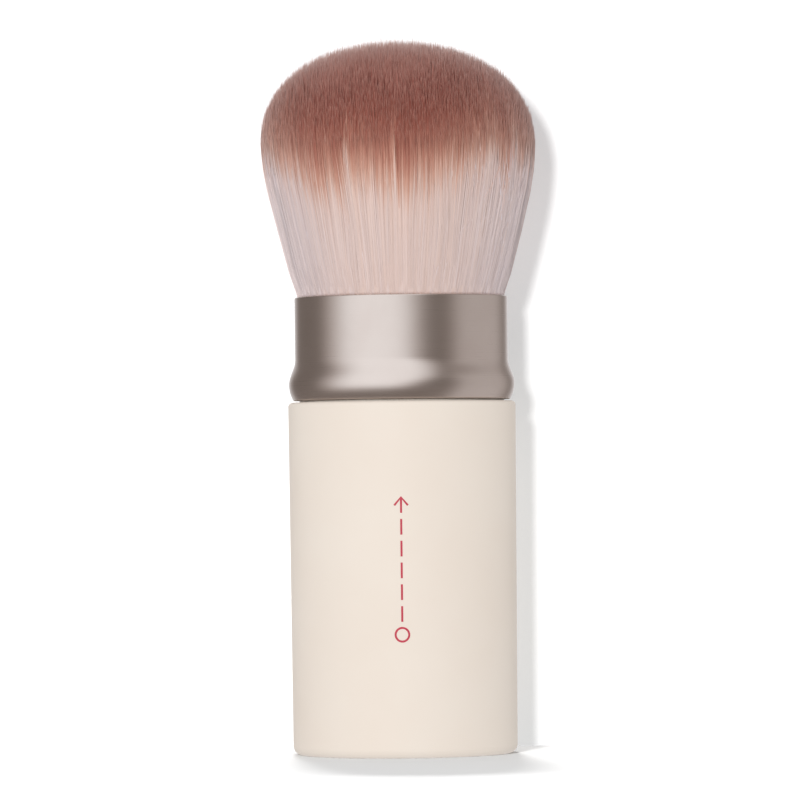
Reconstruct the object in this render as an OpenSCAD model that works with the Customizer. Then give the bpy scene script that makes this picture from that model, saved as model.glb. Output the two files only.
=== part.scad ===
// Retractable kabuki makeup brush, standing on its base with the bristles out.
// The collar and its slide tube move up out of the handle to cover the bristles.
// Millimetres, +Z up, origin at the centre of the base.

/* [Handle] */
// Height of the handle's rim above the base
handle_h = 52.6; // [46:0.1:62]
// Outside diameter of the handle at its rim
handle_d = 34; // [31:0.5:40]
// How much narrower the handle is at its base
handle_taper = 0.5; // [0:0.1:1]
// Wall of the handle at its base, where it is thinnest
handle_wall = 1; // [0.8:0.1:1.6]
// Thickness of the handle's floor
floor_t = 1.6; // [1.2:0.1:2.4]
// Rounding of the edge round the base
base_edge_r = 1.3; // [0.8:0.1:2.4]
// Rounding of the rim's outer edge
rim_edge_r = 0.65; // [0.2:0.05:0.7]

/* [Guide bush] */
// Height of the bush pressed into the handle's mouth
bush_h = 5.7; // [4:0.1:8]
// How far the bush stands in from the bore
bush_lip = 0.38; // [0.3:0.02:0.6]
// How deep the bush's seat is cut into the wall
bush_seat = 0.45; // [0.3:0.05:0.6]
// How far the bush lies below the rim
bush_sunk = 0.3; // [0.1:0.1:0.8]

/* [Slide tube] */
// Wall of the slide tube
tube_wall = 0.7; // [0.5:0.05:1]
// How much wider the tube is where the collar is glued on
tube_step = 0.15; // [0.05:0.05:0.3]
// Depth of the tube's top edge below the collar's mouth
tube_recess = 5.8; // [5.2:0.1:7]
// Height of the stop ring inside the tube's lower end
stop_h = 1.8; // [1:0.1:3]

/* [Collar] */
// Height of the metal collar
collar_h = 15.45; // [13:0.05:19]
// Straight length of the neck, which a travel cap fits over
neck_h = 9.1; // [8:0.1:11]
// Thickness of the collar's metal
shell_t = 0.42; // [0.3:0.02:0.6]
// How far the bead stands out from the neck
bead_bulge = 0.95; // [0.5:0.05:1.4]
// Height of the bead's widest line above the collar's lower edge
bead_z = 2.4; // [2:0.05:3.4]
// How far the lower edge tucks in under the bead
lip_tuck = 0.55; // [0.3:0.05:0.8]
// Rounding of the collar's lower edge
lip_edge_r = 0.25; // [0.15:0.05:0.4]
// Gap between the collar's rolled-in lip and the tube
lip_gap = 0.15; // [0.1:0.01:0.2]
// Shadow gap between the collar and the handle's rim
collar_gap = 0.25; // [0.2:0.05:0.8]

/* [Stem] */
// Outside diameter of the stem's column
column_d = 25; // [20:0.5:26]
// Wall of the column
column_wall = 1.2; // [0.8:0.1:2]
// Height of the stem's head, which carries the glide ring
head_h = 4; // [3:0.1:5]
// Height of the spigot that the ferrule fits over
spigot_h = 3; // [2:0.1:4]
// Thickness of the web at the foot of the stem
web_t = 1.6; // [1:0.1:2.5]
// Number of guide ribs down the column
rib_count = 3; // [2:1:6]
// Width of a guide rib
rib_w = 1.6; // [1:0.1:2.5]
// How far a guide rib stands out of the column
rib_out = 1.5; // [1:0.1:1.6]
// How far above the foot the guide ribs begin
rib_lift = 0.5; // [0.2:0.1:2]
// Thickness of the glide ring, an O-ring
glide_d = 1.5; // [1:0.1:2]

/* [Base] */
// Thickness of the plate under the stem
plate_t = 2.4; // [2:0.1:4]
// Height of the steel weight
weight_h = 10; // [6:0.5:20]
// Diameter of the screw's shank
screw_d = 3; // [2:0.5:4]
// Length of the screw under its head
screw_l = 10; // [7:0.5:12]
// Diameter of the screw's head
screw_head_d = 5.5; // [4.5:0.5:7]
// Height of the screw's head
screw_head_h = 1.45; // [1:0.05:1.6]
// How far the screw's head is sunk into the underside of the plate
screw_sunk = 0.15; // [0.05:0.05:0.4]
// Width of the hexagonal socket in the screw's head, across its corners
screw_socket_d = 2.3; // [1.5:0.1:3]
// Clearance of the screw's shank in the holes that it passes through
screw_slack = 0.2; // [0.1:0.05:0.4]

/* [Ferrule] */
// Height of the ferrule
ferrule_h = 12.5; // [11:0.5:16]
// Wall of the ferrule
ferrule_wall = 0.4; // [0.3:0.05:0.6]
// Depth of the ferrule's top edge below the collar's mouth
ferrule_recess = 5; // [3.5:0.1:6]
// Height of the resin plug under the bristles
plug_h = 5; // [3.5:0.1:6]
// Thickness of the resin slice that the strands stand in
slice_t = 1; // [0.8:0.1:1.5]
// Depth of the crimp that grips the resin plug
crimp_depth = 0.3; // [0.1:0.05:0.5]
// Height of the crimp
crimp_h = 2.4; // [1.6:0.1:3]

/* [Bristles] */
// Length of bristle that stands out of the collar
bristle_out = 38.2; // [32:0.1:44]
// Widest diameter of the bristle head
bristle_d = 41.3; // [36:0.1:46]
// Height of the widest line above the collar's mouth
shoulder_h = 22; // [18:0.5:25]
// How much the dome is higher on its -X side, as a slope
dome_lean = 0.045; // [0:0.005:0.08]
// Number of strands
strand_count = 400; // [300:10:440]
// Room between the outermost strands and the ferrule
bundle_gap = 0.15; // [0.05:0.05:0.5]
// Thickness of a strand, as a share of the room that each one has
strand_fill = 0.9; // [0.5:0.05:0.9]
// Thickness of its tip, as the same share
tip_fill = 0.7; // [0.3:0.05:0.9]

/* [Clearances] */
// Running clearance of the slide tube in the bush
run_gap = 0.07; // [0.05:0.01:0.1]
// Clearance of a glued or pressed joint
fit_gap = 0.03; // [0.01:0.01:0.05]
// Clearance of parts that pass each other without touching
pass_gap = 0.3; // [0.2:0.05:0.4]
// Gap left at each end of the slide tube's travel
end_gap = 0.1; // [0.05:0.05:0.3]

/* [Hidden] */
$fn = 96;

arc_steps = 8;
bead_steps = 12;
cut_more = 1;

// Fullness of the bristle head's dome: 2 is an ellipse
dome_power = 2.2;
// Share of a strand's length at which it is thickest
belly_share = 0.75;
// Angle from one strand to the next
golden_angle = 180 * (3 - sqrt(5));
// Halvings of the height in the search for a strand's tip
halvings = 16;

// Radii, from the handle's wall inwards
rim_r = handle_d / 2;
base_r = rim_r - handle_taper / 2;
bore_r = base_r - handle_wall;
seat_r = bore_r + bush_seat;
bush_in_r = bore_r - bush_lip;
tube_r = bush_in_r - run_gap;
tube_in_r = tube_r - tube_wall;
tube_head_r = tube_r + tube_step;
neck_in_r = tube_head_r + fit_gap;
neck_r = neck_in_r + shell_t;
bead_r = neck_r + bead_bulge;
lip_in_r = tube_head_r + lip_gap;
column_r = column_d / 2;
column_in_r = column_r - column_wall;
rib_r = column_r + rib_out;
head_r = tube_in_r - pass_gap;
ferrule_r = head_r;
ferrule_in_r = ferrule_r - ferrule_wall;
spigot_r = ferrule_in_r - fit_gap;
plug_r = ferrule_in_r - fit_gap;
root_bundle_r = ferrule_in_r - bundle_gap;
glide_r = tube_in_r - fit_gap - glide_d / 2;
groove_r = glide_r - glide_d / 2 - fit_gap;

// Heights, from the base upwards
plate_top = floor_t + plate_t;
seat_z = handle_h - bush_sunk - bush_h;
collar_z = handle_h + collar_gap;
mouth_z = collar_z + collar_h;
neck_z = mouth_z - shell_t / 2 - neck_h;
bead_line = collar_z + bead_z;
tube_z = plate_top + end_gap;
tube_top = mouth_z - tube_recess;
ferrule_top = mouth_z - ferrule_recess;
ferrule_z = ferrule_top - ferrule_h;
head_z = ferrule_z - head_h;
glide_z = head_z + head_h / 2;
rib_top = (head_z + glide_z - glide_d / 2) / 2;
spigot_top = ferrule_z + spigot_h;
plug_top = spigot_top + plug_h;
slice_top = plug_top + slice_t;
crimp_z = (spigot_top + plug_top) / 2;
weight_z = plate_top + web_t;
screw_head_z = floor_t + screw_sunk + screw_head_h;

// Bristle head above the collar's mouth
shoulder_z = mouth_z + shoulder_h;
dome_h = bristle_out - shoulder_h;
flare = (bristle_d / 2 - root_bundle_r) / (shoulder_z - ferrule_top);

// How far the collar rises before the stop ring meets the stem's head
travel = head_z - end_gap - tube_z - stop_h;
echo(travel = travel, neck_radius = neck_r, neck_low = neck_z, mouth = mouth_z);

function arc(cx, cy, r, from, to, steps = arc_steps) =
    [for (i = [0 : steps]) let (a = from + (to - from) * i / steps) [cx + r * cos(a), cy + r * sin(a)]];

// Turns an outline of radius and height into a solid
module turned(outline) {
    rotate_extrude() polygon(outline);
}

// Copies round the axis, the first one half a step from +X
module ring_of(count) {
    for (i = [0 : count - 1]) rotate([0, 0, 360 * (i + 0.5) / count]) children();
}

module body_shell() {
    outline = concat(
        [[0, 0]],
        arc(base_r - base_edge_r, base_edge_r, base_edge_r, -90, 0),
        arc(rim_r - rim_edge_r, handle_h - rim_edge_r, rim_edge_r, 0, 90),
        [[seat_r, handle_h], [seat_r, seat_z], [bore_r, seat_z], [bore_r, floor_t], [0, floor_t]]
    );
    color("#f2e7db") turned(outline);
}

module guide_bush() {
    bevel = bush_lip / 2;
    low = seat_z;
    high = seat_z + bush_h;
    outside = seat_r - fit_gap;
    color("#d9cfc4") turned([
        [bush_in_r + bevel, low], [outside, low], [outside, high],
        [bush_in_r + bevel, high], [bush_in_r, high - bevel], [bush_in_r, low + bevel]
    ]);
}

// Glued to the floor, with the screw's head sunk in its underside
module base_plate() {
    color("#6d6a68") difference() {
        translate([0, 0, floor_t]) cylinder(r = bore_r - fit_gap, h = plate_t);
        translate([0, 0, floor_t - cut_more])
            cylinder(r = screw_head_d / 2 + pass_gap, h = screw_head_z - floor_t + cut_more);
        screw_hole(floor_t, plate_t);
    }
}

module screw_hole(low, height) {
    translate([0, 0, low - cut_more]) cylinder(d = screw_d + 2 * screw_slack, h = height + 2 * cut_more);
}

// Dropped into the column and tapped for the screw, so that it clamps the stem to the plate
module base_weight() {
    color("#8d8f92") difference() {
        translate([0, 0, weight_z]) cylinder(r = column_in_r - pass_gap, h = weight_h);
        translate([0, 0, weight_z - cut_more])
            cylinder(r = screw_d / 2 + fit_gap, h = weight_h + 2 * cut_more);
    }
}

module plate_screw() {
    color("#a9abae") difference() {
        union() {
            translate([0, 0, screw_head_z - screw_head_h]) cylinder(d = screw_head_d, h = screw_head_h);
            translate([0, 0, screw_head_z]) cylinder(d = screw_d, h = screw_l);
        }
        translate([0, 0, screw_head_z - screw_head_h - cut_more])
            cylinder(d = screw_socket_d, h = screw_head_h / 2 + cut_more, $fn = 6);
    }
}

// A tube with a web at its foot, guide ribs down its side and a grooved head
module stem() {
    groove_low = glide_z - glide_d / 2 - fit_gap;
    groove_high = glide_z + glide_d / 2 + fit_gap;
    outline = [
        [0, plate_top], [column_r, plate_top], [column_r, head_z], [head_r, head_z],
        [head_r, groove_low], [groove_r, groove_low], [groove_r, groove_high], [head_r, groove_high],
        [head_r, ferrule_z], [spigot_r, ferrule_z], [spigot_r, spigot_top], [column_in_r, spigot_top],
        [column_in_r, weight_z], [0, weight_z]
    ];
    color("#e4dcd2") difference() {
        union() {
            turned(outline);
            ring_of(rib_count) guide_rib(plate_top + rib_lift);
        }
        screw_hole(plate_top, web_t);
    }
}

// One rib up the column from the given height, or with room round it the notch that it runs in
module guide_rib(low, room = 0) {
    inner = column_r - column_wall / 2;
    translate([inner, -rib_w / 2 - room, low])
        cube([rib_r + room - inner, rib_w + 2 * room, rib_top - low]);
}

module glide_ring() {
    color("#2e2c2b") translate([0, 0, glide_z])
        rotate_extrude() translate([glide_r, 0]) circle(d = glide_d);
}

// The crimp's profile up a wall of the given radius
function crimped(r) = [
    for (i = [0 : bead_steps]) let (a = 360 * i / bead_steps)
        [r - crimp_depth * (1 - cos(a)) / 2, crimp_z + crimp_h * (i / bead_steps - 0.5)]
];

function reversed(points) = [for (i = [len(points) - 1 : -1 : 0]) points[i]];

module ferrule() {
    color("#b9b6b2") turned(concat(
        [[ferrule_in_r, ferrule_z], [ferrule_r, ferrule_z]],
        crimped(ferrule_r),
        arc(ferrule_r - ferrule_wall / 2, ferrule_top - ferrule_wall / 2, ferrule_wall / 2, 0, 180),
        reversed(crimped(ferrule_in_r))
    ));
}

module resin_plug() {
    color("#cdbf9f") turned(concat(
        [[0, spigot_top], [plug_r, spigot_top]],
        crimped(plug_r),
        [[plug_r, plug_top], [0, plug_top]]
    ));
}

// Radius of the bundle of strands at a height: straight in the ferrule, then a steady flare
function bundle_r(z) = root_bundle_r + flare * max(0, z - ferrule_top);

// Height of the dome over a distance from the axis
function dome_z(r) =
    shoulder_z + dome_h * pow(1 - pow(min(2 * r / bristle_d, 1), dome_power), 1 / dome_power);

// Where a strand that runs at a share of the bundle's radius meets the dome
function tip_z(share, low, high, steps) =
    let (middle = (low + high) / 2)
    steps == 0 ? middle
    : middle < dome_z(share * bundle_r(middle)) ? tip_z(share, middle, high, steps - 1)
    : tip_z(share, low, middle, steps - 1);

// The four triangles of points that a strand is made of, from its root to its tip
function strand(share, turn) =
    let (top = tip_z(share, shoulder_z, shoulder_z + dome_h, halvings)
               - dome_lean * share * bundle_r(shoulder_z) * cos(turn),
         belly = ferrule_top + belly_share * (top - ferrule_top),
         heights = [slice_top - slice_t / 2, ferrule_top, belly, top],
         fills = [strand_fill, strand_fill, strand_fill, tip_fill])
    [for (i = [0 : 3], corner = [0 : 2])
        let (around = bundle_r(heights[i]),
             thick = fills[i] * around / sqrt(strand_count),
             axis_r = share * (around - thick),
             a = turn + 120 * corner)
        [axis_r * cos(turn) + thick * cos(a), axis_r * sin(turn) + thick * sin(a), heights[i]]];

// Triangles that close a strand whose first point has the given number
function strand_faces(first) = concat(
    [[first, first + 1, first + 2], [first + 11, first + 10, first + 9]],
    [for (level = [0 : 2], corner = [0 : 2])
        let (low = first + 3 * level, a = low + corner, b = low + (corner + 1) % 3)
        each [[a, a + 3, b], [b, a + 3, b + 3]]]
);

// Strands placed as the seeds of a sunflower are, each with the same room
module bristles() {
    points = [
        for (i = [0 : strand_count - 1]) each strand(sqrt((i + 0.5) / strand_count), golden_angle * i)
    ];
    faces = [for (i = [0 : strand_count - 1]) each strand_faces(12 * i)];
    color("#bd8b80") union() {
        polyhedron(points, faces);
        translate([0, 0, plug_top]) cylinder(r = plug_r, h = slice_t);
    }
}

// Stepped out where the collar is glued on, with a notched stop ring inside its lower end
module slide_tube() {
    stop_r = column_r + pass_gap;
    bevel = tube_wall / 3;
    outline = [
        [stop_r, tube_z], [tube_r - bevel, tube_z], [tube_r, tube_z + bevel], [tube_r, collar_z],
        [tube_head_r, collar_z], [tube_head_r, tube_top], [tube_in_r, tube_top],
        [tube_in_r, tube_z + stop_h], [stop_r, tube_z + stop_h]
    ];
    color("#efe6dc") difference() {
        turned(outline);
        ring_of(rib_count) guide_rib(plate_top, pass_gap);
    }
}

// The bead's profile, set in from its outside: an S-shaped shoulder from the given step, then the curve
// under it, which ends at the given height above the lower edge
function bead_curve(inset, low, first = 0) = concat(
    [for (i = [first : bead_steps]) let (t = i / bead_steps)
        [neck_r - inset + bead_bulge * (1 - cos(180 * t)) / 2, neck_z - (neck_z - bead_line) * t]],
    [for (i = [1 : bead_steps]) let (t = i / bead_steps)
        [bead_r - inset - lip_tuck * t * t, bead_line - (bead_z - low) * t]]
);

// Fills the bead and holds it to the tube
module collar_core() {
    inset = shell_t + fit_gap;
    outside = bead_curve(inset, inset, bead_steps / 2);
    foot = outside[len(outside) - 1];
    color("#d8d2ca") turned(concat(
        outside, [[neck_in_r, foot[1]], [neck_in_r, outside[0][1]]]
    ));
}

// One spun piece of metal, rolled in under the bead
module collar_shell() {
    under = atan(2 * lip_tuck / bead_z);
    edge_x = bead_r - lip_tuck - lip_edge_r * cos(under);
    color("#cfc2ba") turned(concat(
        arc(neck_in_r + shell_t / 2, mouth_z - shell_t / 2, shell_t / 2, 180, 0),
        bead_curve(0, lip_edge_r * (1 - sin(under))),
        arc(edge_x, collar_z + lip_edge_r, lip_edge_r, -under, -90),
        [[lip_in_r, collar_z], [lip_in_r, collar_z + shell_t]],
        reversed(bead_curve(shell_t, shell_t))
    ));
}

body_shell();
guide_bush();
base_plate();
base_weight();
plate_screw();
stem();
glide_ring();
ferrule();
resin_plug();
bristles();
slide_tube();
collar_core();
collar_shell();
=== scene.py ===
"""Kabuki brush: camera, light, stage, materials, bristles and mark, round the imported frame."""

import math

import bpy
import numpy as np
from mathutils import Matrix, Vector


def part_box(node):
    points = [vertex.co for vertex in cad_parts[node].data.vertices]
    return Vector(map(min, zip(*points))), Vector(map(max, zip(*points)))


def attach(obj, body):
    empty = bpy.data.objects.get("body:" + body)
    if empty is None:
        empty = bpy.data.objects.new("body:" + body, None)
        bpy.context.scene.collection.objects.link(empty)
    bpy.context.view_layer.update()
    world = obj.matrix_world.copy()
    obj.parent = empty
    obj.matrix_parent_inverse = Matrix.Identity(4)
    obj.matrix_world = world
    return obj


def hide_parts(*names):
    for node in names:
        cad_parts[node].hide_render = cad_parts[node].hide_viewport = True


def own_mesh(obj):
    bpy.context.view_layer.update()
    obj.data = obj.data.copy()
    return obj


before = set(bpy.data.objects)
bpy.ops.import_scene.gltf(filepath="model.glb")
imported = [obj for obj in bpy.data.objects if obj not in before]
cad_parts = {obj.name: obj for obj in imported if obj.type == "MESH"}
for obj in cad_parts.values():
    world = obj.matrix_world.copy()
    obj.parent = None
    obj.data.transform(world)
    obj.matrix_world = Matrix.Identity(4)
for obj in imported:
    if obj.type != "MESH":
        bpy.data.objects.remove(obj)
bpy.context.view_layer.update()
scene = bpy.context.scene

MM = 0.001
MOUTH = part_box("collar_shell")[1].z / MM     # mm, height of the collar's mouth at rest
WHITE = (1, 1, 1, 1)


# Node helpers


class Tree:
    """Adds nodes to one node tree and joins them."""

    def __init__(self, tree):
        self.tree = tree
        tree.nodes.clear()

    def add(self, kind, inputs=(), **settings):
        node = self.tree.nodes.new(kind)
        for name, value in settings.items():
            setattr(node, name, value)
        for name, value in dict(inputs).items():
            if isinstance(value, bpy.types.NodeSocket):
                self.tree.links.new(value, node.inputs[name])
            else:
                node.inputs[name].default_value = value
        return node

    def math(self, operation, *values, clamp=False):
        settings = {"operation": operation, "use_clamp": clamp}
        return self.add("ShaderNodeMath", enumerate(values), **settings).outputs[0]

    def product(self, first, *others):
        for other in others:
            first = self.math("MULTIPLY", first, other)
        return first

    def smooth(self, value, low, high, out_low=0.0, out_high=1.0):
        """A soft step from out_low at low to out_high at high."""
        inputs = {"Value": value, "From Min": low, "From Max": high, "To Min": out_low, "To Max": out_high}
        return self.add("ShaderNodeMapRange", inputs, interpolation_type="SMOOTHSTEP").outputs[0]

    def ramp(self, value, stops):
        node = self.add("ShaderNodeValToRGB", {"Fac": value})
        elements = node.color_ramp.elements
        while len(elements) < len(stops):
            elements.new(0.5)
        for element, (place, colour) in zip(elements, stops):
            element.position = place
            element.color = (*colour, 1)
        return node.outputs[0]

    def mix(self, factor, a, b, blend="MIX"):
        node = self.add("ShaderNodeMix", data_type="RGBA", blend_type=blend)
        # The sockets for colours are the first, seventh and eighth.
        for socket, value in zip([node.inputs[0], node.inputs[6], node.inputs[7]], [factor, a, b]):
            if isinstance(value, bpy.types.NodeSocket):
                self.tree.links.new(value, socket)
            else:
                socket.default_value = value
        return node.outputs[2]

    def mix_shaders(self, factor, a, b):
        return self.add("ShaderNodeMixShader", {0: factor, 1: a.outputs[0], 2: b.outputs[0]})

    def noise(self, scale, detail=3.0, roughness=0.5, stretch=(1, 1, 1)):
        """Noise in object space; scale is the number of grains in a metre."""
        place = self.add("ShaderNodeTexCoord").outputs["Object"]
        place = self.add("ShaderNodeMapping", {"Vector": place, "Scale": stretch}).outputs[0]
        inputs = {"Vector": place, "Scale": scale, "Detail": detail, "Roughness": roughness}
        return self.add("ShaderNodeTexNoise", inputs).outputs["Fac"]

    def bump(self, height, distance):
        return self.add("ShaderNodeBump", {"Height": height, "Distance": distance}).outputs[0]


def rgb(r, g, b):
    """A colour as it looks on a screen, 0 to 255, as the linear colour that Blender takes."""
    shares = (r / 255, g / 255, b / 255)
    return tuple(c / 12.92 if c <= 0.04045 else ((c + 0.055) / 1.055) ** 2.4 for c in shares)


def rgba(*colour):
    return (*rgb(*colour), 1)


def material(name):
    made = bpy.data.materials.new(name)
    made.use_nodes = True
    tree = Tree(made.node_tree)
    tree.out = tree.add("ShaderNodeOutputMaterial")
    return made, tree


def finish_material(made, tree, shader):
    tree.tree.links.new(shader.outputs[0], tree.out.inputs["Surface"])
    return made


# Camera

SENSOR = 36            # mm
LENS = 274.5           # mm
CAMERA_PLACE = (-0.00028, -0.9125, 0.0426)
CAMERA_TARGET = (-0.00028, 0, 0.05285)
CAMERA_ROLL = -0.63    # degrees that the brush leans in the picture


def build_camera():
    camera = bpy.data.objects.new("camera", bpy.data.cameras.new("camera"))
    scene.collection.objects.link(camera)
    scene.camera = camera
    camera.data.sensor_width = SENSOR
    camera.data.lens = LENS
    camera.data.clip_start = 0.01
    camera.location = CAMERA_PLACE
    ahead = Vector(CAMERA_TARGET) - camera.location
    facing = ahead.to_track_quat("-Z", "Y").to_matrix()
    camera.rotation_euler = (facing @ Matrix.Rotation(math.radians(CAMERA_ROLL), 3, "Z")).to_euler()


build_camera()


# Light

scene.view_settings.view_transform = "Standard"

DARK_LOW, DARK_HIGH = 0.225, 0.19    # level of the studio's bare walls, below and above the horizon
BOX_LEVEL = 1.0
BOX_SLANT = 0.55       # degrees that the softbox's right edge moves outwards with each degree of height
FILL_LEVEL = 0.37
BEHIND_LEVEL = 0.8
STUDIO_TINTS = [(0.18, (1.0, 0.87, 0.80)), (0.5, (1.0, 0.94, 0.92)), (1.0, (0.97, 1.0, 1.03))]
SOFT_LEVEL = 0.56      # of the even light on what isn't glossy
SOFT_LEFT = 0.02       # more of it at the left
SOFT_BEHIND = 0.4      # more of it from the sides and behind
LAMP_PLACE = (-0.16, -1.15, 0.20)
LAMP_AIM = (0, 0, 0.055)


def softbox(sky, turn, rise):
    """A large softbox at the front left, with its right edge leaning outwards."""
    right_edge = sky.math("SUBTRACT", turn, sky.math("MULTIPLY", rise, BOX_SLANT))
    return sky.product(
        sky.smooth(turn, -104.0, -48.0), sky.smooth(right_edge, -6.0, 32.0, 1.0, 0.0),
        sky.smooth(rise, -30.0, -4.0), sky.smooth(rise, 55.0, 85.0, 1.0, 0.0),
    )


def fill_card(sky, turn, rise):
    """A weaker fill at the right, lower than the softbox."""
    return sky.product(
        sky.smooth(turn, 46.0, 72.0), sky.smooth(turn, 120.0, 150.0, 1.0, 0.0),
        sky.smooth(rise, 20.0, 55.0, 1.0, 0.0),
    )


def studio_level(sky, turn, rise):
    """What glossy surfaces mirror: walls, softbox, fill and the pale surroundings behind the object."""
    behind = sky.smooth(sky.math("ABSOLUTE", turn), 145.0, 170.0)
    level = sky.smooth(rise, -25.0, 0.0, DARK_LOW, DARK_HIGH)
    level = sky.math("MULTIPLY_ADD", softbox(sky, turn, rise), BOX_LEVEL, level)
    level = sky.math("MULTIPLY_ADD", fill_card(sky, turn, rise), FILL_LEVEL, level)
    return sky.math("MULTIPLY_ADD", behind, BEHIND_LEVEL, level)


def soft_level(sky, turn):
    left = sky.smooth(turn, -150.0, 150.0, 1.0, 0.0)
    behind = sky.smooth(sky.math("ABSOLUTE", turn), 70.0, 130.0)
    level = sky.math("MULTIPLY_ADD", left, SOFT_LEFT, SOFT_LEVEL)
    return sky.math("MULTIPLY_ADD", behind, SOFT_BEHIND, level)


def build_world():
    """A studio for glossy rays, even light for the others, and plain white for the camera."""
    world = bpy.data.worlds.new("studio")
    scene.world = world
    world.use_nodes = True
    sky = Tree(world.node_tree)
    direction = sky.add("ShaderNodeTexCoord").outputs["Generated"]
    parts = sky.add("ShaderNodeSeparateXYZ", {"Vector": direction}).outputs
    # Degrees to the right of the camera's side, and above the horizon.
    turn = sky.math("DEGREES", sky.math("ARCTAN2", parts["X"], sky.math("MULTIPLY", parts["Y"], -1.0)))
    rise = sky.math("DEGREES", sky.math("ARCSINE", parts["Z"]))
    level = studio_level(sky, turn, rise)
    studio = sky.add("ShaderNodeBackground", {"Strength": level, "Color": sky.ramp(level, STUDIO_TINTS)})
    soft = sky.add("ShaderNodeBackground", {"Strength": soft_level(sky, turn), "Color": WHITE})
    white = sky.add("ShaderNodeBackground", {"Strength": 1.0, "Color": WHITE})
    light_path = sky.add("ShaderNodeLightPath").outputs
    lit = sky.mix_shaders(light_path["Is Glossy Ray"], soft, studio)
    seen = sky.mix_shaders(light_path["Is Camera Ray"], lit, white)
    sky.add("ShaderNodeOutputWorld", {"Surface": seen.outputs[0]})


def lamp(name, size, watts):
    """A round lamp at the front left, aimed at the middle of the brush."""
    data = bpy.data.lights.new(name, "AREA")
    data.shape = "DISK"
    data.size = size
    data.energy = watts
    made = bpy.data.objects.new(name, data)
    scene.collection.objects.link(made)
    made.location = LAMP_PLACE
    made.rotation_euler = (Vector(LAMP_AIM) - Vector(LAMP_PLACE)).to_track_quat("-Z", "Y").to_euler()
    return made


build_world()
key = lamp("key", 0.09, 5.3)
key.visible_glossy = False
backdrop_lamp = lamp("backdrop_lamp", 0.11, 4.0)


# Stage

WALL_Y = 0.0215        # m, just behind the brush
STAGE_REACH = 3        # m
FLOOR_GLOW, FLOOR_ALBEDO = 0.0, 0.5
WALL_GLOW, WALL_ALBEDO = 0.24, 0.8
GLOW_COLOUR = (0.94, 1.0, 1.03, 1)
SUN_WIDTH = 7          # degrees


def stage_plane(name, corners):
    mesh = bpy.data.meshes.new(name)
    mesh.from_pydata(corners, [], [(0, 1, 2, 3)])
    made = bpy.data.objects.new(name, mesh)
    scene.collection.objects.link(made)
    for kind in ("visible_diffuse", "visible_glossy", "visible_transmission", "visible_shadow"):
        setattr(made, kind, False)
    return made


def light_group(name, objects):
    """A collection for a lamp's light linking."""
    group = bpy.data.collections.new(name)
    for made in objects:
        group.objects.link(made)
    return group


def floor_sun(name, energy, towards):
    """A sun that throws the handle's shadow on the floor, and lights nothing else."""
    made = bpy.data.objects.new(name, bpy.data.lights.new(name, "SUN"))
    scene.collection.objects.link(made)
    made.data.energy = energy
    made.data.angle = math.radians(SUN_WIDTH)
    made.rotation_euler = Vector(towards).to_track_quat("-Z", "Y").to_euler()
    made.light_linking.receiver_collection = floor_only
    made.light_linking.blocker_collection = handle_only


def paper(name, glow, albedo):
    """White paper with a faint grain, clear when seen from behind."""
    made, tree = material(name)
    grain = tree.ramp(tree.noise(900, 4), [(0, (0.985,) * 3), (1, (1.0,) * 3)])
    colour = tree.mix(1.0, (albedo, albedo, albedo, 1), grain, "MULTIPLY")
    lit = tree.add("ShaderNodeBsdfDiffuse", {"Color": colour})
    own = tree.add("ShaderNodeEmission", {"Strength": glow, "Color": GLOW_COLOUR})
    front = tree.add("ShaderNodeAddShader", {0: lit.outputs[0], 1: own.outputs[0]})
    clear = tree.add("ShaderNodeBsdfTransparent")
    away = tree.add("ShaderNodeNewGeometry").outputs["Backfacing"]
    return finish_material(made, tree, tree.mix_shaders(away, front, clear))


FAR = STAGE_REACH
floor = stage_plane("floor", [(-FAR, -FAR, 0), (FAR, -FAR, 0), (FAR, FAR, 0), (-FAR, FAR, 0)])
wall = stage_plane("wall", [(-FAR, WALL_Y, 0), (FAR, WALL_Y, 0), (FAR, WALL_Y, FAR), (-FAR, WALL_Y, FAR)])
floor.data.materials.append(paper("floor_paper", FLOOR_GLOW, FLOOR_ALBEDO))
wall.data.materials.append(paper("wall_paper", WALL_GLOW, WALL_ALBEDO))

backdrop_lamp.light_linking.receiver_collection = light_group("lit_by_backdrop_lamp", [wall])
floor_only = light_group("floor_only", [floor])
handle_only = light_group("handle_only", [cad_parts[node] for node in ("body_shell", "collar_shell")])
floor_sun("sun_from_behind", 2.8, (0.04, -0.61, -0.79))
floor_sun("sun_from_front", 5.4, (0.22, 0.9, -0.36))


# Materials of the rigid pieces

LACQUER_GRAIN = 0.000004    # m, depths of the finest relief
RING_DEPTH = 0.0000005
MOULD_GRAIN = 0.000006


def lacquer():
    """Soft-touch cream lacquer: even, with a very fine grain."""
    made, tree = material("cream_lacquer")
    clouds = tree.noise(60, 3)
    colour = tree.ramp(clouds, [(0.25, rgb(244, 231, 218)), (0.75, rgb(247, 236, 224))])
    grain = tree.noise(9000, 2)
    rough = tree.smooth(tree.noise(400, 3), 0.3, 0.7, 0.47, 0.55)
    shader = tree.add("ShaderNodeBsdfPrincipled", {
        "Base Color": colour, "Roughness": rough, "Specular IOR Level": 0.35,
        "Normal": tree.bump(grain, LACQUER_GRAIN),
    })
    return finish_material(made, tree, shader)


def metal(name, light, dark, low, high):
    """Turned metal: faint rings round the axis and a cloudy satin finish, low to high rough."""
    made, tree = material(name)
    rings = tree.noise(60, 4, 0.7, (1, 1, 260))
    clouds = tree.noise(140, 3)
    colour = tree.mix(tree.smooth(clouds, 0.3, 0.7), (*light, 1), (*dark, 1))
    rough = tree.math("MULTIPLY_ADD", rings, high - low, low)
    shader = tree.add("ShaderNodeBsdfPrincipled", {
        "Base Color": colour, "Metallic": 1.0, "Roughness": rough, "Normal": tree.bump(rings, RING_DEPTH),
    })
    return finish_material(made, tree, shader)


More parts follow.
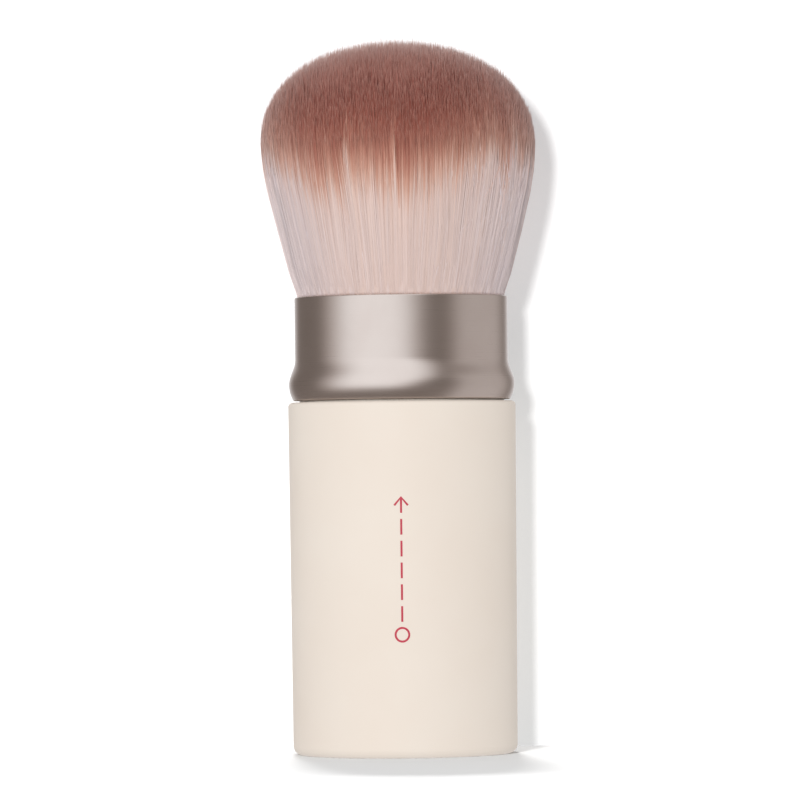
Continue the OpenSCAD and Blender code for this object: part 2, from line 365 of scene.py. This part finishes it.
def plastic(name, light, dark, rough):
    """Moulded plastic, rubber or resin: cloudy colour and a fine moulding grain."""
    made, tree = material(name)
    colour = tree.mix(tree.smooth(tree.noise(90, 3), 0.3, 0.7), (*light, 1), (*dark, 1))
    roughness = tree.smooth(tree.noise(500, 2), 0.3, 0.7, rough - 0.05, rough + 0.05)
    grain = tree.bump(tree.noise(5000, 2), MOULD_GRAIN)
    shader = tree.add("ShaderNodeBsdfPrincipled", {
        "Base Color": colour, "Roughness": roughness, "Normal": grain,
    })
    return finish_material(made, tree, shader)


finishes = {
    "body_shell": lacquer(),
    "collar_shell": metal("champagne_satin", rgb(217, 205, 198), rgb(213, 200, 193), 0.24, 0.34),
    "slide_tube": plastic("tube_plastic", rgb(238, 230, 220), rgb(234, 226, 216), 0.4),
    "collar_core": plastic("collar_plastic", rgb(232, 224, 214), rgb(228, 220, 210), 0.5),
    "guide_bush": plastic("bush_plastic", rgb(225, 220, 214), rgb(220, 214, 208), 0.45),
    "stem": plastic("stem_plastic", rgb(230, 226, 220), rgb(224, 220, 214), 0.45),
    "base_plate": plastic("plate_plastic", rgb(238, 226, 212), rgb(234, 222, 208), 0.5),
    "base_weight": metal("weight_steel", rgb(150, 148, 146), rgb(130, 128, 127), 0.3, 0.45),
    "plate_screw": metal("screw_steel", rgb(196, 194, 192), rgb(176, 175, 174), 0.2, 0.35),
    "glide_ring": plastic("ring_rubber", rgb(52, 50, 50), rgb(44, 42, 42), 0.7),
    "ferrule": metal("ferrule_aluminium", rgb(214, 212, 210), rgb(204, 202, 200), 0.25, 0.4),
    "resin_plug": plastic("resin", rgb(214, 190, 140), rgb(205, 178, 126), 0.2),
}
for node, finish in finishes.items():
    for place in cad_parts[node].material_slots:
        place.material = finish


# Form of the bristle head

STRANDS = 32000        # spread evenly through the head
OUTER = 14000          # more of them near its outside
OUTER_DEPTH = 0.3      # share of the radius that the outer ones reach inwards
SECTORS = 24
SEED = 150
ROOT = 60.6            # mm, height of the buried ends
WIDE = 20.4            # mm, radius at the widest
WIDEST = 22.8          # mm above the mouth
DOME = 15.3            # mm, height of the dome above the widest place
DOME_POWER = 2.2
FLARE_FOOT = 15.6      # mm, radius that the flare would have at the mouth
FLARE_SLOPE = 0.258
FLARE_BLEND = 0.6      # mm over which the flare rounds into the widest place
BURIED_R, MOUTH_R = 13.75, 15.5    # mm, radius in the ferrule and at the mouth
LEAN, LEAN_FROM = 0.016, 12        # slope of the head to the left, and mm above the mouth where it begins
LOWER = np.array([0, 0.25, 0.5, 0.75])            # share of the way to the taper
TAPER = np.array([7.0, 3.8, 1.8, 0.7, 0.0])       # mm from the tip
THICK = np.array([0.08, 0.09, 0.09, 0.09, 0.086, 0.068, 0.042, 0.022, 0.005])
RINGS = len(THICK)
GOLDEN = math.pi * (3 - math.sqrt(5))


def bundle(high):
    """Radius of the whole bundle, high mm above the mouth."""
    flare = FLARE_FOOT + FLARE_SLOPE * high
    open_part = -FLARE_BLEND * np.log(np.exp(-flare / FLARE_BLEND) + np.exp(-(WIDE + 0.1) / FLARE_BLEND))
    inside = BURIED_R + (MOUTH_R - BURIED_R) * np.clip((high + 5.0) / 5.0, 0, 1) ** 1.3
    return np.where(high > 0, open_part, inside)


def dome(radius):
    """Height above the mouth of the tips, radius mm from the axis."""
    inner = np.clip(1 - np.clip(radius / WIDE, 0, 1) ** DOME_POWER, 0, 1)
    return WIDEST + DOME * inner ** (1 / DOME_POWER)


def leaning(x, z):
    """The whole head leans a little to the left."""
    return x - LEAN * np.clip(z - MOUTH - LEAN_FROM, 0, None)


def outward(angle, share, z, to_tip):
    """Normals of the whole head: sideways along a strand, and the dome's near its tip."""
    flare = (bundle(z - MOUTH + 0.1) - bundle(z - MOUTH - 0.1)) / 0.2
    side = np.stack([np.cos(angle), np.sin(angle), -flare * share], -1)
    inner = np.clip(1 - np.clip(share, 0, 0.999) ** DOME_POWER, 0.001, 1)
    steep = DOME / WIDE * inner ** (1 / DOME_POWER - 1) * np.clip(share, 0, 1) ** 1.2
    over = np.stack([steep * np.cos(angle), steep * np.sin(angle), np.ones_like(steep)], -1)
    side /= np.linalg.norm(side, axis=-1, keepdims=True)
    over /= np.linalg.norm(over, axis=-1, keepdims=True)
    near = np.clip((5.0 - to_tip) / 4.5, 0, 1)[..., None]
    near = near * near * (3 - 2 * near)
    mixed = side * (1 - near) + over * near
    return mixed / np.linalg.norm(mixed, axis=-1, keepdims=True)


# Colour of the bristles

DYE = 14.6             # mm above the mouth, where the dyed tips begin
DYE_RISE = 3.4         # mm that it begins higher at the sides
DYE_MIDDLE = 104       # degrees, which puts the lowest part of the dye line near the front
DYE_WAVERS = [(0.5, 7, 2.0), (0.4, 13, 0.0)]      # mm, waves round the head, phase
# Degrees round the head from its front, half width in degrees, and mm that the lock stays pale further up.
PALE_LOCKS = [
    (-22, 1.8, 4.5), (-33, 1.6, 2.5), (9, 1.8, 2.0), (44, 3.0, 1.5), (63, 2.4, 1.5), (128, 3.0, 4.0),
    (-165, 2.2, 4.0), (-112, 3.0, 3.0),
]
# Painted light: the sides add paler, cooler colours, standing in for light and a cool reflection on the
# left and right of the head.
TINT_SHARE_FRONT, SIDE_LIGHT_SHARE = 0.1, 0.8    # share of the cool colours at the front, and what the sides add
RAMP_LOW, RAMP_HIGH = -6.0, 18.0    # mm above the dye line, where the colours below begin and end
# In both ramps the last stop is paler than the one below it. The top of the dome is lighter partly from
# the fibre's colour and partly as painted light through the thin tips.
WARM = [
    (0.00, rgb(232, 206, 196)), (0.20, rgb(234, 205, 193)), (0.29, rgb(226, 187, 170)),
    (0.38, rgb(212, 161, 141)), (0.50, rgb(186, 125, 107)), (0.66, rgb(160, 92, 77)),
    (0.86, rgb(148, 80, 67)), (1.0, rgb(172, 106, 93)),
]
# Paler, cooler colours. At the left and right sides they are painted light and a painted cool reflection;
# elsewhere they are the tint of some strands.
PALE_TINT_AND_SIDE_LIGHT = [
    (0.00, rgb(236, 223, 227)), (0.20, rgb(236, 217, 219)), (0.29, rgb(228, 200, 194)),
    (0.38, rgb(214, 165, 148)), (0.50, rgb(198, 142, 126)), (0.66, rgb(176, 114, 99)),
    (0.86, rgb(166, 101, 88)), (1.0, rgb(184, 124, 112)),
]
# Colour of the very ends. It is partly the fibre's own and partly painted light through the thin tips,
# which lightens the dome's rim.
PALE_TIP_AND_RIM_LIGHT = rgba(222, 172, 158)
SHEEN_TINT = (1.0, 0.83, 0.79, 1)
VALUES = ["above", "to_tip", "tint_and_side_light", "tone", "dense"]


def from_front(angle):
    """Degrees round the head from its front, to the right."""
    return (np.degrees(angle) + 90 + 180) % 360 - 180


def dye_line(angle):
    """Height of the edge of the dye, which is lower at the front and back than at the sides."""
    side = np.abs(np.sin(angle + math.radians(DYE_MIDDLE)))
    rise = np.clip((side - 0.35) / 0.5, 0, 1)
    waver = sum(size * np.sin(waves * angle + phase) for size, waves, phase in DYE_WAVERS)
    return MOUTH + DYE + DYE_RISE * rise * rise * (3 - 2 * rise) + waver


def pale_locks(angle, share, rng):
    """How much further up the outer strands of a few locks stay pale."""
    lift = np.zeros_like(angle)
    for middle, width, most in PALE_LOCKS:
        away = (from_front(angle) - middle + 180) % 360 - 180
        lift += most * np.exp(-((away / width) ** 2))
    return lift * (share > 0.95) * (rng.random(len(angle)) < 0.45)


# Painted light: a little of the paler, cooler colours everywhere, and much more at the left and right
# sides.
def painted_side_light_share(angle):
    return TINT_SHARE_FRONT + SIDE_LIGHT_SHARE * np.abs(np.cos(angle)) ** 3


def fibre_colour(tree, above, to_tip, tint_and_side_light, tone):
    """Pale fibre, dyed brown at the tips and paler again at the very ends, partly as painted light through
    the thin tips.
    """
    inputs = {"Value": above, "From Min": RAMP_LOW, "From Max": RAMP_HIGH}
    place = tree.add("ShaderNodeMapRange", inputs).outputs[0]
    # Painted light at the sides: the paler, cooler colours are mixed in, most at the left and right.
    colour = tree.mix(tint_and_side_light, tree.ramp(place, WARM), tree.ramp(place, PALE_TINT_AND_SIDE_LIGHT))
    light = tree.math("MULTIPLY_ADD", tone, 0.1, 0.95)
    light = tree.add("ShaderNodeCombineColor", {0: light, 1: light, 2: light}).outputs[0]
    colour = tree.mix(1.0, colour, light, "MULTIPLY")
    # The paler very ends are partly painted light through the thin tips.
    return tree.mix(tree.smooth(to_tip, 1.0, 0.0, 0.0, 0.55), colour, PALE_TIP_AND_RIM_LIGHT)


def value_of(tree, name, output="Fac"):
    return tree.add("ShaderNodeAttribute", attribute_name=name).outputs[output]


def bristle_material():
    """Single strands, and under them the dense mass in the same colours, in streaks that follow them."""
    made, tree = material("bristle_fibre")
    above, to_tip, tint_and_side_light, tone, dense = (value_of(tree, name) for name in VALUES)
    flat = value_of(tree, "flat", "Vector")

    def streaks(scale):
        inputs = {"Vector": flat, "Scale": scale, "Detail": 2.0}
        return tree.add("ShaderNodeTexNoise", inputs).outputs["Fac"]

    def shifted(value, noise, size, **settings):
        change = tree.math("MULTIPLY", tree.math("SUBTRACT", noise, 0.5), size)
        return tree.math("MULTIPLY_ADD", change, dense, value, **settings)

    fine, broad = streaks(130.0), streaks(28.0)
    above = shifted(shifted(above, fine, 8.0), broad, 8.0)
    tone = shifted(tone, fine, 2.5, clamp=True)
    # The paler colours of the painted side light waver in broad streaks.
    tint_and_side_light = shifted(tint_and_side_light, broad, 1.4, clamp=True)
    shader = tree.add("ShaderNodeBsdfPrincipled", {
        "Base Color": fibre_colour(tree, above, to_tip, tint_and_side_light, tone), "Roughness": 0.5,
        "Specular IOR Level": 0.25, "Sheen Weight": 1.0, "Sheen Roughness": 0.45, "Sheen Tint": SHEEN_TINT,
    })
    return finish_material(made, tree, shader)


# The dense mass under the strands

MASS_SHARE = 0.988     # of the radius, where the mass ends
MASS_LOW = 2.2         # mm that it lies under the tips
MASS_END = 0.003       # of the radius, where its skin ends at the top
MASS_TIP = 0.4         # mm under the dome that its colours take as the tips
PATCH_UP, PATCH_OVER, PATCH_COLUMNS = 90, 60, 18    # steps up the side, over the dome and across
PATCH_MAP = 0.9        # where the patch's strip of the bake's map begins
STREAK_LENGTH = 0.002  # how slowly its streaks change with height
RIPPLES = [(0.003, 61, 3, 5), (0.002, 127, 4, 3)]   # size, waves round, and size and waves of their waver


def mass_patch(index):
    """One sector of the dense mass's skin: just inside the outer strands and under their tips."""
    side_z = MOUTH + dome(np.array(MASS_SHARE) * WIDE) - MASS_LOW
    inwards = np.linspace(MASS_SHARE, MASS_END, PATCH_OVER + 1)[1:]
    shares = np.concatenate([np.full(PATCH_UP, MASS_SHARE), inwards])
    over_z = MOUTH + dome(shares[PATCH_UP:] * WIDE) - MASS_LOW
    heights = np.concatenate([np.linspace(ROOT, side_z, PATCH_UP), over_z])
    angle = (index + np.arange(PATCH_COLUMNS + 1) / PATCH_COLUMNS) / SECTORS * 2 * math.pi
    share, turn = np.meshgrid(shares, angle, indexing="ij")
    z = np.repeat(heights[:, None], PATCH_COLUMNS + 1, 1)
    ripple = np.ones_like(turn)
    for size, waves, waver, waver_waves in RIPPLES:
        ripple = ripple + size * np.sin(waves * turn + waver * np.sin(waver_waves * turn))
    r = bundle(z - MOUTH) * share * ripple
    # Under the dome the mass takes the paler tip colours too, which are partly painted light, as on the
    # strands.
    to_tip = MOUTH + dome(share * WIDE) - MASS_TIP - z
    values = {
        "above": z - dye_line(turn),
        "to_tip": to_tip,
        # Painted light at the left and right sides, as on the strands.
        "tint_and_side_light": painted_side_light_share(turn),
        "tone": np.full_like(z, 0.5),
        "dense": np.ones_like(z),
    }
    points = np.stack([leaning(r * np.cos(turn), z), r * np.sin(turn), z], -1)
    flat = np.stack([share * np.cos(turn), share * np.sin(turn), z * STREAK_LENGTH], -1)
    return points, flat, outward(turn, share, z, to_tip), values


# Strands

CLUMPS = 900
CLUMP_PULL = 0.09      # most of the way that a clump draws its strands together
BATCH = 2000           # strands compared with all clumps at a time
SWAYS = [(9, 0.4, 0.15), (17, 2.1, 0.12), (31, 4.0, 0.08)]    # waves round the head, phase, mm
OWN_NORMAL = 0.45      # how much a strand's own round form shows in its shading
LOOSE_MIDDLE, LOOSE_WIDTH = 55, 18    # degrees from the front, where most loose strands lie
SPREAD = 0.15          # mm that tips may stand out of the bundle


def scatter(rng):
    """Share of the radius and angle of each strand: evenly through the head, and closer outside."""
    share = np.sqrt((np.arange(STRANDS) + 0.5) / STRANDS) * (1 + rng.normal(0, 0.006, STRANDS))
    share = np.clip(np.concatenate([share, 1 - OUTER_DEPTH * rng.random(OUTER) ** 3]), 0, 1)
    angle = np.arange(STRANDS) * GOLDEN + rng.normal(0, 0.02, STRANDS)
    angle = np.concatenate([angle, rng.uniform(0, 2 * math.pi, OUTER)]) % (2 * math.pi)
    return share, angle


def gather(rng, flat):
    """Clumps: for each strand its clump's middle, and the clump's pull, dye line and tone."""
    share = np.sqrt((np.arange(CLUMPS) + 0.5) / CLUMPS)
    angle = np.arange(CLUMPS) * GOLDEN + rng.normal(0, 0.05, CLUMPS)
    centres = np.stack([share * np.cos(angle), share * np.sin(angle)], 1)
    nearest = np.concatenate([
        ((flat[first:first + BATCH, None] - centres[None]) ** 2).sum(2).argmin(1)
        for first in range(0, len(flat), BATCH)
    ])
    pull = rng.uniform(0.0, CLUMP_PULL, CLUMPS)[nearest]
    line = rng.normal(0, 0.4, CLUMPS)
    odd = rng.random(CLUMPS) < 0.05
    line = line + np.where(odd, rng.uniform(1.5, 4.0, CLUMPS), 0)
    tone = rng.normal(0, 0.16, CLUMPS)[nearest]
    return centres[nearest], pull, line[nearest], tone


def strand_tops(rng, share):
    """Where each strand ends on the dome."""
    n = len(share)
    top = MOUTH + dome(share * WIDE) + rng.normal(0.1, 0.2, n) - rng.exponential(0.5, n)
    long_ones = rng.random(n) < 0.3
    return top + np.where(long_ones, rng.exponential(0.15, n), 0)


def wandering(rng, n):
    """How far each strand leans and bows of its own, in mm; a few lean much more."""
    own = rng.normal(0, 0.1, (n, 2))
    bow = rng.normal(0, 0.08, (n, 2))
    own[rng.random(n) < 0.008] *= 5.0
    return own, bow


def loose_strands(rng, share, angle):
    """Single strands that lie across the others, most of them at the front right."""
    chance = 0.01 + 0.06 * np.exp(-(((from_front(angle) - LOOSE_MIDDLE) / LOOSE_WIDTH) ** 2))
    loose = (share > 0.985) & (rng.random(len(share)) < chance)
    return loose, np.where(loose, rng.normal(0, 0.16, len(share)), 0)


def swaying(angle, z, ease):
    """Locks sway round the axis together, by so many mm."""
    sway = np.zeros_like(z)
    for waves, phase, size in SWAYS:
        wave = size * np.sin(waves * angle[:, None] + phase + z / (4.5 + 14 / waves))
        sway += wave * np.sin(math.pi * ease * 0.85)
    return sway


def make_strands():
    """Centre lines of all strands, (strand, ring, xyz) in mm, with the values that colour them."""
    rng = np.random.default_rng(SEED)
    share, angle = scatter(rng)
    n = len(share)
    flat = np.stack([share * np.cos(angle), share * np.sin(angle)], 1)
    centre, pull, clump_line, clump_tone = gather(rng, flat)
    tops = strand_tops(rng, share)[:, None]
    z = np.concatenate([ROOT + (tops - TAPER[0] - ROOT) * LOWER[None], tops - TAPER[None]], 1)
    scale = bundle(z - MOUTH)
    r = scale * share[:, None]
    ease = np.clip((z - MOUTH) / (tops - MOUTH), 0, 1)
    own, bow = wandering(rng, n)
    loose, drift = loose_strands(rng, share, angle)
    crossing = drift[:, None] * np.sin(math.pi * (ease - 0.45))
    turned = angle[:, None] + swaying(angle, z, ease) / np.maximum(r, 3.0) + crossing
    place = []
    for axis, side in ((0, np.cos(turned)), (1, np.sin(turned))):
        towards = (centre - flat)[:, axis, None] * scale * pull[:, None] * ease ** 2.5
        strays = own[:, axis, None] * ease ** 1.4 + bow[:, axis, None] * np.sin(math.pi * ease)
        place.append(r * (1 + 0.006 * loose[:, None]) * side + towards + strays)
    x, y = place
    limit = np.minimum(scale + SPREAD * ease, WIDE + 0.4)
    far = np.hypot(x, y)
    squeeze = np.where(far > limit, limit / np.maximum(far, 1e-6), 1.0)
    x, y = leaning(x * squeeze, z), y * squeeze

    line = dye_line(angle) + clump_line + rng.normal(0, 1.2, n) + pale_locks(angle, share, rng)
    # Painted light at the left and right sides, plus a random tint and more of the paler colours for loose
    # strands.
    tint_and_side_light = painted_side_light_share(angle) + rng.normal(0, 0.1, n) + 0.3 * loose
    tone = rng.normal(0.5, 0.2, n) + clump_tone + 0.3 * loose
    values = {
        "above": z - line[:, None],
        "to_tip": tops - z,
        "tone": np.repeat(np.clip(tone, 0, 1)[:, None], RINGS, 1),
        "tint_and_side_light": np.repeat(np.clip(tint_and_side_light, 0, 1)[:, None], RINGS, 1),
        "dense": np.zeros_like(z),
    }
    angles, shares = (np.repeat(numbers[:, None], RINGS, 1) for numbers in (angle, share))
    normals = outward(angles, shares, z, tops - z)
    return np.stack([x, y, z], 2), values, normals, angle, rng.uniform(0, 2 * math.pi, n)


# Meshes of the bristles


def strand_faces(n):
    """Quads and end triangles of n strands, whose rings have three points each."""
    strand = np.arange(n)[:, None, None]
    ring = np.arange(RINGS - 1)[None, :, None]
    side = np.arange(3)[None, None, :]
    start = (strand * RINGS + ring) * 3
    after = (side + 1) % 3
    quads = np.stack([start + side, start + after, start + 3 + after, start + 3 + side], 3).reshape(-1, 4)
    ends = np.arange(n)[:, None] * RINGS * 3
    roots = ends + np.array([2, 1, 0])[None]
    tips = ends + (RINGS - 1) * 3 + np.array([0, 1, 2])[None]
    return quads, np.concatenate([roots, tips])


def strand_map(n):
    """Places of n strands in the bake's map, a cell each: of quads, of root and of tip triangles."""
    ring = np.arange(RINGS - 1)[None, :, None]
    side = np.arange(3)[None, None, :]
    grid = math.ceil(math.sqrt(n))
    left, low = (np.arange(n) % grid)[:, None, None], (np.arange(n) // grid)[:, None, None]
    shape = (n, RINGS - 1, 3)
    across = [np.broadcast_to(left + 0.1 + 0.8 * (side + k) / 3, shape) for k in (0, 1, 1, 0)]
    along = [np.broadcast_to(low + 0.1 + 0.8 * (ring + k) / (RINGS - 1), shape) for k in (0, 0, 1, 1)]
    quad_map = np.stack([np.stack(across, 3), np.stack(along, 3)], 4).reshape(-1, 2)
    corner = np.array([[0.1, 0.0], [0.5, 0.08], [0.9, 0.0]])
    cell = np.stack([left, low], 3).reshape(n, 1, 2)
    root_map = (cell + corner[None]).reshape(-1, 2)
    tip_map = (cell + corner[None] * (1, -1) + (0, 1)).reshape(-1, 2)
    size = (1 / grid, (PATCH_MAP - 0.01) / grid)
    return quad_map * size, root_map * size, tip_map * size


def patch_faces(shape, first):
    """Quads of the patch, whose points begin at first, and their places in its strip of the map."""
    rows, columns = shape
    row, column = np.meshgrid(np.arange(rows - 1), np.arange(columns - 1), indexing="ij")
    corners = [(row + down, column + right) for down, right in ((0, 0), (0, 1), (1, 1), (1, 0))]
    quads = np.stack([first + a * columns + b for a, b in corners], 2).reshape(-1, 4)
    places = [np.stack([b / (columns - 1), PATCH_MAP + (1 - PATCH_MAP) * a / (rows - 1)], 2)
              for a, b in corners]
    return quads, np.stack(places, 2).reshape(-1, 2)


def fill_mesh(mesh, points, quads, triangles, places):
    """Points in metres, then the quads, then the triangles, with their places in the bake's map."""
    corners = np.concatenate([quads.ravel(), triangles.ravel()])
    starts = np.concatenate([np.arange(len(quads)) * 4, quads.size + np.arange(len(triangles)) * 3])
    mesh.vertices.add(len(points))
    mesh.vertices.foreach_set("co", points.astype(np.float32).ravel())
    mesh.loops.add(len(corners))
    mesh.loops.foreach_set("vertex_index", corners.astype(np.int32))
    mesh.polygons.add(len(starts))
    mesh.polygons.foreach_set("loop_start", starts.astype(np.int32))
    mesh.update(calc_edges=True)
    mesh.uv_layers.new(name="OFBake").data.foreach_set("uv", places.ravel().astype(np.float32))


def sector_mesh(name, lines, values, normals, spin, patch):
    """One mesh of three-sided strands that taper to their tips, with the mass's patch under them."""
    patch_points, patch_flat, patch_normals, patch_values = patch
    turn = spin[:, None] + np.arange(3)[None] * 2 * math.pi / 3
    offset = np.stack([np.cos(turn), np.sin(turn), np.zeros_like(turn)], 2)
    points = lines[:, :, None, :] + offset[:, None] * THICK[None, :, None, None]
    points = np.concatenate([points.reshape(-1, 3), patch_points.reshape(-1, 3)]) * MM
    facing = normals[:, :, None, :] + offset[:, None] * OWN_NORMAL
    facing = np.concatenate([facing.reshape(-1, 3), patch_normals.reshape(-1, 3)])
    facing /= np.linalg.norm(facing, axis=1, keepdims=True)

    first = len(lines) * RINGS * 3
    quads, triangles = strand_faces(len(lines))
    patch_quads, patch_map = patch_faces(patch_points.shape[:2], first)
    quad_map, root_map, tip_map = strand_map(len(lines))
    mesh = bpy.data.meshes.new(name)
    places = np.concatenate([quad_map, patch_map, root_map, tip_map])
    fill_mesh(mesh, points, np.concatenate([quads, patch_quads]), triangles, places)
    for key in VALUES:
        numbers = np.concatenate([np.repeat(values[key], 3, axis=1).ravel(), patch_values[key].ravel()])
        mesh.attributes.new(key, "FLOAT", "POINT").data.foreach_set("value", numbers.astype(np.float32))
    flat = np.concatenate([np.zeros((first, 3)), patch_flat.reshape(-1, 3)]).astype(np.float32)
    mesh.attributes.new("flat", "FLOAT_VECTOR", "POINT").data.foreach_set("vector", flat.ravel())
    mesh.shade_smooth()
    mesh.normals_split_custom_set_from_vertices(facing.tolist())
    return mesh


def build_bristles():
    """The head in sectors, each a mesh of its own that rides on the handle."""
    fibre = bristle_material()
    lines, values, normals, angle, spin = make_strands()
    sector = (angle / (2 * math.pi) * SECTORS).astype(int) % SECTORS
    for index in range(SECTORS):
        chosen = sector == index
        own = {key: numbers[chosen] for key, numbers in values.items()}
        name = f"bristles_{index:02d}"
        mesh = sector_mesh(name, lines[chosen], own, normals[chosen], spin[chosen], mass_patch(index))
        mesh.materials.append(fibre)
        piece = bpy.data.objects.new(name, mesh)
        scene.collection.objects.link(piece)
        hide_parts("bristles")
        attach(piece, "handle")
        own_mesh(piece)


build_bristles()


# The mark on the handle

HANDLE_TAPER = 0.25    # mm that the radius is less at the base
STROKE = 0.3           # mm, width of a printed line
RAISED, SUNK = 0.02, -0.03    # mm, top and underside of the print, from the handle's face
MARK_MIDDLE = -0.3     # mm to the right of the handle's middle
MARK_LOW, MARK_HIGH = 17.2, 38.4    # mm above the base
MARK_HALF = 1.0        # mm, half the width of the ring and of the arrow's head
ARROW_DEPTH = 1.2      # mm
DASH, DASH_GAP = 2.3, 0.9      # mm
RING_POINTS = 40
DASH_POINTS = 5


def red_print():
    made, tree = material("red_print")
    colour = tree.ramp(tree.noise(1800, 3), [(0.3, rgb(196, 62, 80)), (0.7, rgb(206, 74, 92))])
    rough = tree.smooth(tree.noise(900, 2), 0.3, 0.7, 0.4, 0.5)
    shader = tree.add("ShaderNodeBsdfPrincipled", {"Base Color": colour, "Roughness": rough})
    return finish_material(made, tree, shader)


def on_handle(across, z, lift):
    """A point on the handle's front, across mm to the right of its middle and z mm up, as metres."""
    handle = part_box("body_shell")
    rim_z = handle[1].z / MM
    radius = (handle[1].x - handle[0].x) / 2 / MM - HANDLE_TAPER * (1 - z / rim_z) + lift
    turn = across / radius
    return (radius * math.sin(turn) * MM, -radius * math.cos(turn) * MM, z * MM)


def stroke(points, closed=False):
    """A thin raised line of print through the points, as vertices and faces."""
    vertices, faces = [], []
    count = len(points)
    for index, (u, z) in enumerate(points):
        before = points[index - 1] if index or closed else points[index]
        after = points[(index + 1) % count] if index + 1 < count or closed else points[index]
        along = Vector((after[0] - before[0], after[1] - before[1])).normalized()
        aside = Vector((-along.y, along.x)) * STROKE / 2
        for lift, sign in ((RAISED, 1), (RAISED, -1), (SUNK, -1), (SUNK, 1)):
            vertices.append(on_handle(u + sign * aside.x, z + sign * aside.y, lift))
    for index in range(count if closed else count - 1):
        here, there = 4 * index, 4 * ((index + 1) % count)
        for k in range(4):
            faces.append((here + k, there + k, there + (k + 1) % 4, here + (k + 1) % 4))
    if not closed:
        faces += [(3, 2, 1, 0), tuple(4 * (count - 1) + k for k in range(4))]
    return vertices, faces


def mark_strokes():
    """A plain sign for sliding the collar: a ring, a dashed line and an arrow."""
    middle, low, high, half = MARK_MIDDLE, MARK_LOW, MARK_HIGH, MARK_HALF
    ring = [(middle + half * math.cos(a), low + half + half * math.sin(a))
            for a in np.linspace(0, 2 * math.pi, RING_POINTS, endpoint=False)]
    strokes = [stroke(ring, closed=True)]
    first = low + 2 * half + DASH_GAP
    while first < high - DASH:
        last = min(first + DASH, high - 0.2)
        strokes.append(stroke([(middle, z) for z in np.linspace(first, last, DASH_POINTS)]))
        first = last + DASH_GAP
    strokes.append(stroke([(middle, first - DASH_GAP), (middle, high)]))
    foot = high - ARROW_DEPTH
    strokes.append(stroke([(middle - half, foot), (middle, high), (middle + half, foot)]))
    return strokes


def build_mark():
    vertices, faces = [], []
    for points, sides in mark_strokes():
        faces += [tuple(len(vertices) + corner for corner in side) for side in sides]
        vertices += points
    mesh = bpy.data.meshes.new("handle_mark")
    mesh.from_pydata(vertices, [], faces)
    mark = bpy.data.objects.new("handle_mark", mesh)
    scene.collection.objects.link(mark)
    mesh.materials.append(red_print())
    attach(mark, "handle")


build_mark()
